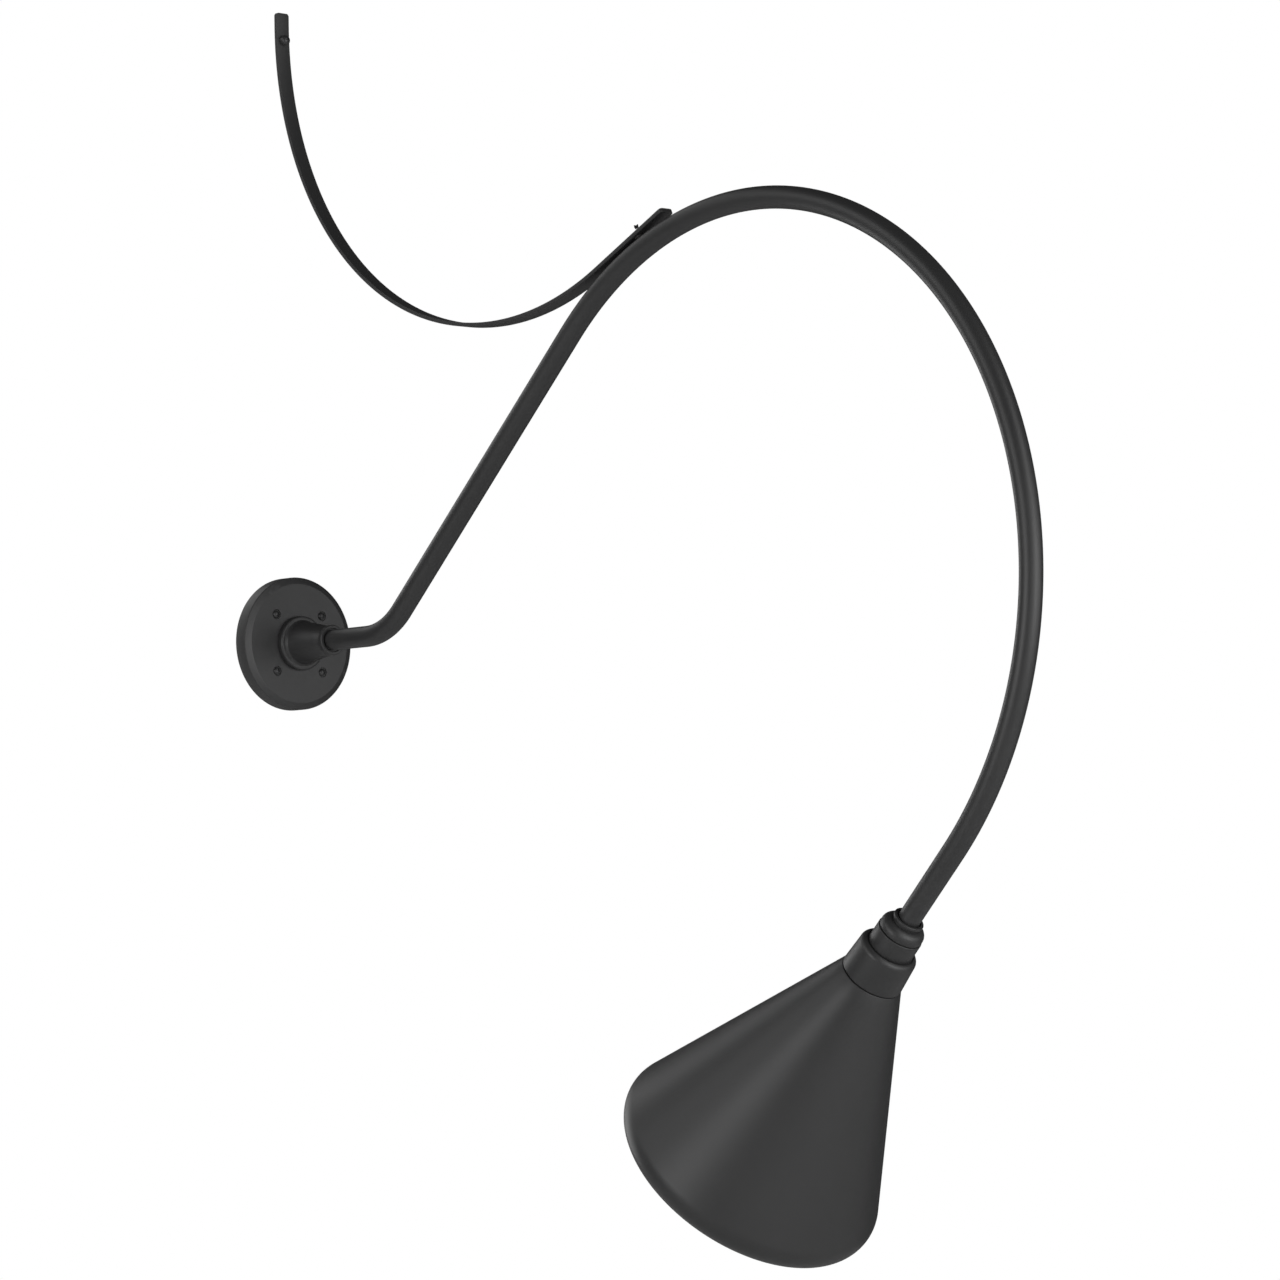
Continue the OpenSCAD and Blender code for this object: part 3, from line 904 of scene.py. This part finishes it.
@dataclass
class WallPlate(SubAssembly):
    """Round back plate with its four screws."""

    radius: float = 67.0
    edge: float = 15.0
    face: float = 17.5
    wall: float = 3.0
    bore: float = 12.1
    bevel: float = 5.6
    seat: float = 5.1
    screw_circle: float = 40.4
    screw: RoundHead = field(
        default_factory=lambda: RoundHead(
            head=8.2, rise=3.2, shank=2.25, stud=1.75, reach=38.5, thread_from=16.5
        )
    )

    def places(self) -> list[Matrix]:
        """Where the four screws' heads stand, in their seats."""
        out = []
        for angle in (45, 135, 225, 315):
            y, z = polar(self.screw_circle, angle)
            out.append(Matrix.Translation((0, y * MM, z * MM)) @ Line(self.face - 1.0, 0.0, 0.0).matrix())
        return out

    def build(self) -> None:
        """Makes the plate and the screws."""
        edge, inner = self.radius, self.radius - self.wall
        outline = softened(
            [
                (self.bore, self.face, 0.0),
                (self.bore, self.face - self.wall, 0.0),
                (inner - 3.0, self.face - self.wall, 2.5),
                (inner, self.face - self.wall - 3.0, 2.5),
                (inner, 0.0, 0.3),
                (edge, 0.0, 0.5),
                (edge, self.edge, 0.9),
                (edge - self.bevel, self.face - 0.4, 0.5),
                (edge - self.bevel - 1.2, self.face, 0.7),
            ]
        )
        plate = Mesh("plate_casting")
        plate.turn(outline, HUB_LINE.matrix(), steps=192)
        made = plate.build([self.shop.get(SATIN_BLACK)])
        seats = Mesh("seat_cutter")
        bowl = softened(
            [
                (0.0, -4.0, 0.0),
                (2.4, -4.0, 0.0),
                (2.4, 0.0, 0.0),
                (self.seat - 0.3, 0.0, 0.5),
                (self.seat, 1.0, 0.0),
                (self.seat, 2.0, 0.0),
                (0.0, 2.0, 0.0),
            ],
            closed=False,
        )
        for place in self.places():
            seats.turn(bowl, place, wrap=False, steps=48)
        carve(made, seats.build([]))
        self.settle(made, Body.FRAME, "black_coat", ["back_plate"])
        screws = Mesh("plate_screw_set")
        for place in self.places():
            self.screw.add_to(screws, place)
        fitted = screws.build([self.shop.get(BLACK_SCREW)], sharp=40.0)
        carve(fitted, self.screw.recess("recess_cutter", self.places()), sharp=40.0)
        self.settle(fitted, Body.FRAME, "black_steel", ["plate_screws"])


@dataclass
class Hub(SubAssembly):
    """Bell hub that stands on the plate and takes the pipe."""

    base: float = 27.4
    lip: float = 15.3
    end: float = 73.0
    nipple: float = 12.0
    bore: float = 8.0
    socket: float = 10.55
    socket_from: float = 39.95
    face: float = 17.55

    def build(self) -> None:
        """Makes the hub in one turned piece."""
        outline = softened(
            [
                (self.bore, 6.0, 0.3),
                (self.nipple, 6.0, 0.5),
                (self.nipple, self.face, 0.0),
                (self.base, self.face, 0.5),
                (self.base, 24.0, 2.5),
                (23.2, 24.0, 0.3),
                (21.6, 26.0, 1.4),
                (18.6, 44.0, 30.0),
                (15.6, 60.0, 24.0),
                (13.9, 66.6, 3.0),
                (14.1, 67.6, 0.8),
                (self.lip, 68.6, 1.0),
                (self.lip, self.end, 1.2),
                (11.9, self.end, 0.5),
                (11.9, self.end - 2.0, 0.3),
                (self.socket, self.end - 2.0, 0.0),
                (self.socket, self.socket_from, 0.0),
                (self.bore, self.socket_from, 0.0),
            ]
        )
        hub = Mesh("hub_casting")
        hub.turn(outline, HUB_LINE.matrix(), steps=160)
        self.settle(hub.build([self.shop.get(SATIN_BLACK)]), Body.FRAME, "black_coat", ["hub"])


@dataclass
class Arm(SubAssembly):
    """The bent pipe, hollow from end to end."""

    radius: float = 10.5
    wall: float = 2.5
    ease: float = 0.2
    from_x: float = 40.0
    tail: float = 90.0

    def build(self) -> None:
        """Sweeps the pipe's wall along the arm."""
        stations = ARM.route(self.from_x, self.tail).stations(bend_step=1.2)
        pipe, steps = Mesh("arm_tube"), 64
        ends = (stations[0], stations[-1])
        shells = ((self.radius, stations), (self.radius - self.wall, stations[::-1]))
        rows = []
        for radius, line in shells:
            for place in line:
                eased = place in ends and radius == self.radius
                size = radius - self.ease if eased else radius
                ring = (polar(size, 360 * k / steps) for k in range(steps))
                rows.append(pipe.row([place.out(up, side) for up, side in ring]))
        pipe.skin(rows, wrap=True)
        self.settle(pipe.build([self.shop.get(SATIN_BLACK)]), Body.FRAME, "black_coat", ["arm_pipe"])


@dataclass
class Strap(SubAssembly):
    """Flat strap from the wall to the arch, with its two screws."""

    width: float = 15.9
    thick: float = 4.0
    radius: float = 342.4
    turn_z: float = 630.6
    top: float = 14.9
    wall_screw_z: float = 617.0
    gap: float = 0.8
    fix_on: float = 19.0
    tail: float = 43.0
    corner: float = 3.0
    edge: float = 0.45
    wall_screw: RoundHead = field(
        default_factory=lambda: RoundHead(
            head=9.8, rise=3.0, shank=2.6, stud=2.4, reach=4.2, thread_from=4.2, side=4.6
        )
    )
    arm_screw: RoundHead = field(
        default_factory=lambda: RoundHead(
            head=9.8, rise=3.0, shank=2.1, stud=1.9, reach=12.0, thread_from=4.0, side=4.6, pitch=0.9
        )
    )

    def touch(self) -> Station:
        """Where the strap's middle line passes closest over the arch."""
        end = NECK_LINE
        cx, cz = polar(ARM.arch_radius, end.heading - 90)
        centre = Vector((end.x + cx, end.z + cz))
        reach = ARM.arch_radius + Arm(self.shop).radius + self.gap + self.thick / 2
        apart = Vector((self.radius + self.thick / 2, self.turn_z)) - centre
        lean = math.acos((self.radius + reach) / apart.length)
        slope = math.degrees(math.atan2(apart.y, apart.x) - lean) - 90
        x, z = polar(reach, slope + 90)
        return Station(centre.x + x, centre.y + z, slope, 0.0)

    def stations(self) -> list[Station]:
        """Places along the strap, close together where its ends are rounded."""
        touch = self.touch()
        turn = 90 + touch.heading
        bare = Route(
            Station(self.thick / 2, self.turn_z + self.top, -90.0, 0.0),
            ((self.top, 0.0), (self.radius, turn)),
        )
        leave = bare.end()
        run = math.hypot(touch.x - leave.x, touch.z - leave.z) + self.fix_on + self.tail
        whole = Route(bare.start, (*bare.legs, (run, 0.0))).stations(bend_step=1.0, run_step=12.0)
        length = whole[-1].far
        fine = [self.corner * (1 - math.cos(math.radians(9 * k))) for k in range(1, 11)]
        extra = [self._between(whole, far) for far in (*fine, *(length - d for d in fine))]
        kept = [s for s in whole if self.corner < s.far < length - self.corner]
        return sorted([whole[0], *kept, *extra, whole[-1]], key=lambda s: s.far)

    @staticmethod
    def _between(line: Sequence[Station], far: float) -> Station:
        """The place at that distance along a line of places."""
        for a, b in zip(line, line[1:]):
            if a.far <= far <= b.far:
                t = (far - a.far) / (b.far - a.far)
                return Station(a.x + (b.x - a.x) * t, a.z + (b.z - a.z) * t, a.heading, far)
        return line[-1]

    def _section(self, inset: float) -> list[Point]:
        """The bar's section with its long edges eased.

        Args:
            inset: how far each side is drawn in, where an end is rounded.

        Returns:
            (upward, side) points.
        """
        w, t = self.width / 2 - inset, self.thick / 2
        corners = ((t, w), (-t, w), (-t, -w), (t, -w))
        return softened([(up, side, self.edge) for up, side in corners], steps=4)

    def build(self) -> None:
        """Sweeps the bar and sets both screws."""
        stations = self.stations()
        length = stations[-1].far
        bar, rows = Mesh("strap_bar"), []
        for place in stations:
            depth = min(place.far, length - place.far, self.corner)
            inset = self.corner - math.sqrt(max(0.0, self.corner**2 - (self.corner - depth) ** 2))
            rows.append(bar.row([place.out(up, side) for up, side in self._section(inset)]))
        bar.skin(rows)
        bar.face(rows[0][::-1])
        bar.face(rows[-1])
        self.settle(bar.build([self.shop.get(SATIN_BLACK)]), Body.FRAME, "black_coat", ["strap"])
        wall_place = Line(self.thick + 0.6, self.wall_screw_z, 0.0).matrix()
        touch = self.touch()
        lift_x, lift_z = polar(self.thick / 2, touch.heading + 90)
        on_x, on_z = polar(self.fix_on, touch.heading)
        arm_place = Line(touch.x + on_x + lift_x, touch.z + on_z + lift_z, touch.heading + 90).matrix()
        for name, screw, place, node in (
            ("strap_wall_fixing", self.wall_screw, wall_place, "strap_wall_screw"),
            ("strap_arm_fixing", self.arm_screw, arm_place, "strap_arm_screw"),
        ):
            mesh = Mesh(name)
            screw.add_to(mesh, place)
            made = mesh.build([self.shop.get(BLACK_SCREW)], sharp=40.0)
            carve(made, screw.recess(f"{name}_cutter", [place]), sharp=40.0)
            self.settle(made, Body.FRAME, "black_steel", [node])


@dataclass
class Neck(SubAssembly):
    """Bell on the arm's end, and the coupling and cap that swivel under it."""

    lip: float = 14.3
    lip_from: float = 78.0
    waist: float = 13.0
    shoulder: float = 20.7
    bell_end: float = 93.6
    coupling: float = 21.3
    coupling_end: float = 113.3
    cap_top: float = 27.4
    cap_foot: float = 29.1
    cap_end: float = 146.0
    swell: float = 7.8
    socket: float = 10.55
    socket_end: float = 90.05
    stem: float = 9.5
    stem_bore: float = 7.0
    stem_end: float = 121.0
    spigot: float = 16.0
    spigot_end: float = 116.0
    cap_round: float = 5.5
    post_out: float = 19.5
    fit: float = 0.05

    def build(self) -> None:
        """Makes the three turned pieces."""
        place = NECK_LINE.matrix()
        black = self.shop.get(SATIN_BLACK)
        top, foot = self.lip_from, self.bell_end
        bell = softened(
            [
                (11.8, top, 0.4),
                (self.lip, top, 0.9),
                (self.lip, top + 3.0, 0.9),
                (self.waist, top + 3.1, 0.3),
                (self.waist, top + 5.4, 0.9),
            ],
            closed=False,
        )
        bell += arc(self.shoulder - self.swell, 91.2, self.swell, -84.0, 0.0, 18)
        bell += softened(
            [
                (self.shoulder, 92.0, 0.0),
                (self.shoulder, foot, 0.5),
                (self.stem, foot, 0.0),
                (self.stem, self.stem_end, 0.4),
                (self.stem_bore, self.stem_end, 0.4),
                (self.stem_bore, 91.0, 0.0),
                (8.0, self.socket_end, 0.0),
                (self.socket, self.socket_end, 0.0),
                (self.socket, top + 2.0, 0.0),
                (11.8, top + 2.0, 0.0),
            ],
            closed=False,
        )
        mesh = Mesh("neck_bell_turned")
        mesh.turn(bell, place, steps=144)
        self.settle(mesh.build([black]), Body.FRAME, "black_coat", ["neck_bell"])

        above, below, inner = self.bell_end + 0.9, self.coupling_end, self.stem + self.fit
        coupling = softened(
            [
                (inner, above, 0.0),
                (self.coupling, above, 0.8),
                (self.coupling, below, 0.3),
                (self.spigot, below, 0.0),
                (self.spigot, self.spigot_end, 0.0),
                (inner, self.spigot_end, 0.0),
            ]
        )
        mesh = Mesh("coupling_turned")
        mesh.turn(coupling, place, steps=144)
        self.settle(mesh.build([black]), Body.SHADE, "black_coat", ["coupling"])

        start, hole = self.coupling_end + self.fit, self.spigot + self.fit
        shoulder = arc(self.cap_top - self.cap_round, start + 4.35, self.cap_round, -78.0, 0.0, 16)
        cap = [(hole, start), (22.5, start), *shoulder]
        cap += softened(
            [
                (self.cap_top, 118.0, 0.0),
                (self.cap_foot, self.cap_end, 0.7),
                (24.3, self.cap_end, 0.2),
                (24.4, 120.0, 0.0),
            ],
            closed=False,
        )[1:]
        cap += [*arc(21.0, 118.0, 3.0, 0.0, -90.0, 8), (hole, 115.0)]
        mesh = Mesh("cap_turned")
        mesh.turn(cap, place, steps=160)
        for side in (-1, 1):
            post = place @ Matrix.Translation((side * self.post_out * MM, 0, 0))
            bored = [(3.0, 114.9), (3.0, 122.0), (1.4, 122.0), (1.4, 116.4), (0.0, 116.4)]
            mesh.turn([(0.0, 114.9), *bored], post, wrap=False, steps=32)
        self.settle(mesh.build([black]), Body.SHADE, "black_coat", ["shade_cap"])


@dataclass
class ShadeShell(SubAssembly):
    """Spun cone with a rounded rim, black outside and white inside."""

    apex: float = 79.5
    half_angle: float = 23.5
    top: float = 147.0
    rim_start: float = 366.0
    rim_radius: float = 21.2
    rim_turn: float = 93.0
    thick: float = 1.0
    hole: float = 24.0

    def radius_at(self, along: float) -> float:
        """The cone's outer radius at a station along the neck."""
        return (along - self.apex) * math.tan(math.radians(self.half_angle))

    def build(self) -> None:
        """Turns the shell, with its inner faces in white."""
        slope = math.radians(self.half_angle)
        cx = self.radius_at(self.rim_start) - self.rim_radius * math.cos(slope)
        cz = self.rim_start + self.rim_radius * math.sin(slope)
        last = self.rim_turn - self.half_angle
        outside = softened(
            [(self.hole, self.top, 0.0), (self.radius_at(self.top) - 0.3, self.top, 0.9), (cx, cz, 0.0)],
            closed=False,
            steps=5,
        )[:-1]
        span = [self.top + 2.5 + (self.rim_start - self.top - 2.5) * k / 24 for k in range(24)]
        outside += [(self.radius_at(t), t) for t in span]
        outside += arc(cx, cz, self.rim_radius, -self.half_angle, last, 28)
        tip = arc(
            *(a + b for a, b in zip((cx, cz), polar(self.rim_radius - self.thick / 2, last))),
            self.thick / 2,
            last,
            last + 180,
            6,
        )[1:-1]
        inside = arc(cx, cz, self.rim_radius - self.thick, last, -self.half_angle, 28)
        under = self.top + self.thick
        drop = self.thick / math.cos(slope)
        inside += [(self.radius_at(t) - drop, t) for t in reversed(span) if t > under + 2]
        inside += [(self.radius_at(under) - drop, under), (self.hole, under)]
        white_from = len(outside) + len(tip) // 2
        outline = [*outside, *tip, *inside]
        paint = [0 if band < white_from else 1 for band in range(len(outline))]
        paint[-1] = 0
        shell = Mesh("shade_spun")
        shell.turn(outline, NECK_LINE.matrix(), steps=256, paint=paint)
        made = shell.build([self.shop.get(SATIN_BLACK), self.shop.get(WHITE_ENAMEL)], sharp=40.0)
        self.settle(made, Body.SHADE, "black_coat", ["shade"])


@dataclass
class Lamp(SubAssembly):
    """Screw lamp: threaded cap, moulded body and opal globe."""

    contact: float = 144.0
    cap_from: float = 147.0
    cap_length: float = 20.0
    cap_radius: float = 13.1
    body_end: float = 200.0
    globe_radius: float = 30.0
    length: float = 108.0
    wall: float = 1.2

    def build(self) -> None:
        """Makes the cap, the body and the globe."""
        place = NECK_LINE.matrix()
        cap = Mesh("lamp_cap_rolled")
        low = place @ Matrix.Translation((0, 0, self.cap_from * MM))
        cap.thread(self.cap_radius - 0.05, 0.85, 3.6, self.cap_length, low, round_form=True, steps=96)
        self.settle(cap.build([self.shop.get(NICKEL)], sharp=60.0), Body.LAMP, "nickel", ["lamp_cap"])

        neck = self.cap_from + self.cap_length
        body = Mesh("lamp_body_moulded")
        body.turn(
            softened(
                [
                    (0.0, neck, 0.0),
                    (13.8, neck, 0.6),
                    (14.6, neck + 2.0, 1.0),
                    (16.5, neck + 8.0, 10.0),
                    (22.4, neck + 24.0, 24.0),
                    (24.3, self.body_end, 0.6),
                    (0.0, self.body_end, 0.0),
                ],
                closed=False,
            ),
            place,
            wrap=False,
            steps=96,
        )
        made = body.build([self.shop.get(LAMP_PLASTIC)])
        self.settle(made, Body.LAMP, "lamp_plastic", ["lamp_body"])

        centre = self.contact + self.length - self.globe_radius
        start = math.degrees(math.asin((self.body_end + 3.0 - centre) / self.globe_radius))
        outer = arc(0.0, centre, self.globe_radius, start, 90.0, 36)
        inner = arc(0.0, centre, self.globe_radius - self.wall, 90.0, start, 36)
        outer[-1], inner[0] = (0.0, outer[-1][1]), (0.0, inner[0][1])
        foot = self.body_end + 0.05
        globe = Mesh("lamp_globe_opal")
        globe.turn([(24.4 - self.wall, foot), (24.4, foot), *outer], place, wrap=False, steps=96)
        globe.turn([*inner, (24.4 - self.wall, foot)], place, wrap=False, steps=96)
        made = globe.build([self.shop.get(OPAL)])
        self.settle(made, Body.LAMP, "opal_plastic", ["lamp_globe"])


@dataclass
class Fittings(SubAssembly):
    """CAD pieces that keep their own shape and only take a finish."""

    def build(self, nodes: dict[str, bpy.types.Object], slots: dict[str, str]) -> None:
        """Gives every CAD node its slot's finish.

        Args:
            nodes: the frame's CAD objects by name.
            slots: each node's material slot.
        """
        for name, node in nodes.items():
            finish = self.shop.get(SLOT_FINISHES[slots[name]])
            if not node.material_slots:
                node.data.materials.append(finish)
            for held in node.material_slots:
                held.material = finish
            LOG.info("%s takes the %s finish", name, finish.name)


# ---------------------------------------------------------------- studio


@dataclass(frozen=True)
class SoftBox:
    """A square area light that looks at a point."""

    name: str
    azimuth: float
    elevation: float
    distance: float
    size: float
    power: float

    def build(self, target: Vector) -> None:
        """Hangs the light.

        Args:
            target: the point it looks at.
        """
        side, up = math.radians(self.azimuth), math.radians(self.elevation)
        way = Vector((math.cos(up) * math.cos(side), math.cos(up) * math.sin(side), math.sin(up)))
        lamp = bpy.data.lights.new(self.name, "AREA")
        lamp.shape, lamp.size, lamp.energy = "SQUARE", self.size, self.power
        made = bpy.data.objects.new(self.name, lamp)
        made.location = target + way * self.distance
        made.rotation_euler = (-way).to_track_quat("-Z", "Y").to_euler()
        bpy.context.scene.collection.objects.link(made)


@dataclass(frozen=True)
class Studio:
    """Pale floor, soft lights and the camera."""

    yaw: float = 41.49
    pitch: float = -3.92
    roll: float = -1.10
    distance: float = 4799.0
    focal: float = 133.4
    slide_x: float = -354.95
    slide_y: float = -4.6
    sensor: float = 36.0
    middle_x: float = 0.5
    floor_z: float = -1.5
    floor_size: float = 3.0
    ambient: float = 0.05
    boxes: tuple[SoftBox, ...] = (
        SoftBox("right_key", 3.5, 0.0, 4.2, 2.2, 76.6),
        SoftBox("right_high", 3.5, 30.0, 4.2, 2.2, 31.3),
        SoftBox("right_rim", 33.5, 0.0, 4.2, 2.2, 28.7),
        SoftBox("front_fill", -26.5, 0.0, 4.2, 2.2, 23.6),
        SoftBox("left_key", -86.5, 0.0, 4.2, 2.2, 71.6),
        SoftBox("left_high", -116.5, 30.0, 4.2, 2.2, 28.9),
        SoftBox("back_rim", -176.5, 0.0, 4.2, 2.2, 36.6),
        SoftBox("back_high", -176.5, 30.0, 4.2, 2.2, 20.3),
    )

    def axes(self) -> tuple[Vector, Vector, Vector]:
        """The camera's right, up and backward directions."""
        yaw, pitch, roll = (math.radians(a) for a in (self.yaw, self.pitch, self.roll))
        level = Vector((math.cos(yaw), -math.sin(yaw), 0))
        side = Vector((math.sin(yaw), math.cos(yaw), 0))
        back = level * math.cos(pitch) + Vector((0, 0, math.sin(pitch)))
        up = Vector((0, 0, math.cos(pitch))) - level * math.sin(pitch)
        right = side * math.cos(roll) + up * math.sin(roll)
        return right, up * math.cos(roll) - side * math.sin(roll), back

    def camera(self) -> None:
        """Places the camera and makes it the scene's."""
        right, up, back = self.axes()
        lens = bpy.data.cameras.new("view_camera")
        lens.lens, lens.sensor_width = self.focal, self.sensor
        lens.clip_end = 50.0
        made = bpy.data.objects.new("view_camera", lens)
        spot = (back * self.distance - right * self.slide_x - up * self.slide_y) * MM
        turn = Matrix((right, up, back)).transposed().to_4x4()
        made.matrix_world = Matrix.Translation(spot) @ turn
        bpy.context.scene.collection.objects.link(made)
        bpy.context.scene.camera = made

    def floor(self) -> None:
        """Lays the pale floor under the object."""
        half, z = self.floor_size, self.floor_z
        data = bpy.data.meshes.new("floor")
        corners = ((-1, -1), (1, -1), (1, 1), (-1, 1))
        points = [(self.middle_x + x * half, y * half, z) for x, y in corners]
        data.from_pydata(points, [], [(0, 1, 2, 3)])
        pale = bpy.data.materials.new("pale_floor")
        pale.use_nodes = True
        shader = pale.node_tree.nodes["Principled BSDF"]
        preset(shader, {"Base Color": (0.86, 0.86, 0.86, 1.0), "Roughness": 0.8})
        data.materials.append(pale)
        made = bpy.data.objects.new("floor", data)
        bpy.context.scene.collection.objects.link(made)

    def sky(self) -> None:
        """White surround: bright behind the object, softer as light."""
        world = bpy.data.worlds.new("white_surround")
        world.use_nodes = True
        bpy.context.scene.world = world
        node, link = world.node_tree.nodes, world.node_tree.links.new
        white = (1.0, 1.0, 1.0, 1.0)
        soft = node["Background"]
        preset(soft, {"Color": white, "Strength": self.ambient})
        seen = added(node, "ShaderNodeBackground", {"Color": white, "Strength": 1.0})
        path = node.new("ShaderNodeLightPath")
        mix = node.new("ShaderNodeMixShader")
        link(path.outputs["Is Camera Ray"], mix.inputs["Fac"])
        link(soft.outputs[0], mix.inputs[1])
        link(seen.outputs[0], mix.inputs[2])
        link(mix.outputs[0], node["World Output"].inputs["Surface"])

    def build(self) -> None:
        """Sets up everything that isn't the object."""
        self.camera()
        self.floor()
        self.sky()
        for box in self.boxes:
            box.build(Vector((self.middle_x, 0.0, 0.0)))
        view = bpy.context.scene.view_settings
        view.view_transform, view.look, view.exposure, view.gamma = "Standard", "None", 0.0, 1.0


def main() -> None:
    """Builds the finished sconce in its studio."""
    logging.basicConfig(level=logging.INFO, format="%(message)s")
    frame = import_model()
    slots = {part["node"]: part["material_slot"] for part in frame["record"]["subparts"]}
    shop = Paintshop()
    Fittings(shop).build(frame["nodes"], slots)
    for kind in (WallPlate, Hub, Arm, Strap, Neck, ShadeShell, Lamp):
        made = kind(shop)
        made.build()
        LOG.info("%s: %d pieces", type(made).__name__, len(made.pieces))
    Studio().build()


if __name__ == "__main__":
    main()
